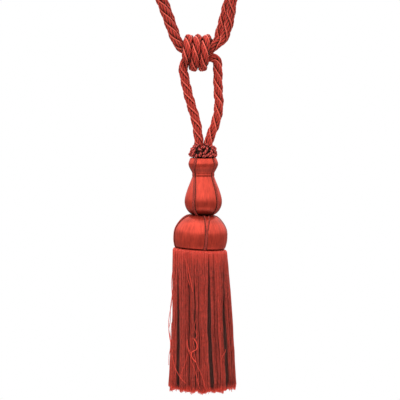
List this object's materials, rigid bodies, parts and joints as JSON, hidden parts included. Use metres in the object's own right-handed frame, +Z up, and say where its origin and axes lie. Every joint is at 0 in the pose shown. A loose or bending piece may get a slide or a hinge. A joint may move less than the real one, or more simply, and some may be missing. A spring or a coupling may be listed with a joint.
{
  "type": "curtain tieback",
  "caption": "tasselled curtain tieback: twisted cord embrace with two hook loops, coiled knot, satin-covered moulds and a long thread skirt",
  "frame": {"origin": "the point where the hook bears on the two end loops, at the crown of the front loop", "axes": "+Z up, along the length of the hanging tieback; the front faces -Y; +X to the right as seen from the front"},
  "size_m": [0.0966, 0.071, 0.5351],
  "materials": {
    "twisted_cord": "laid furnishing cord of three matt yarn plies with a bright strand in each groove, brick red",
    "gimp": "fine two-ply twisted cord, dark red",
    "satin": "lustrous viscose thread wound lengthwise over a turned mould, orange red",
    "skirt_thread": "fine viscose thread, cut ends, brick red"
  },
  "bodies": {
    "root": {"embrace_cord": "twisted_cord", "knot_wrap": "twisted_cord", "drop_cord": "twisted_cord", "neck_ruff": "gimp", "upper_mould": "satin", "upper_cord_1": "gimp", "upper_cord_2": "gimp", "upper_cord_3": "gimp", "upper_cord_4": "gimp", "lower_mould": "satin", "lower_cord_1": "gimp", "lower_cord_2": "gimp", "lower_cord_3": "gimp", "lower_cord_4": "gimp", "skirt": "skirt_thread"}
  },
  "joints": []
}
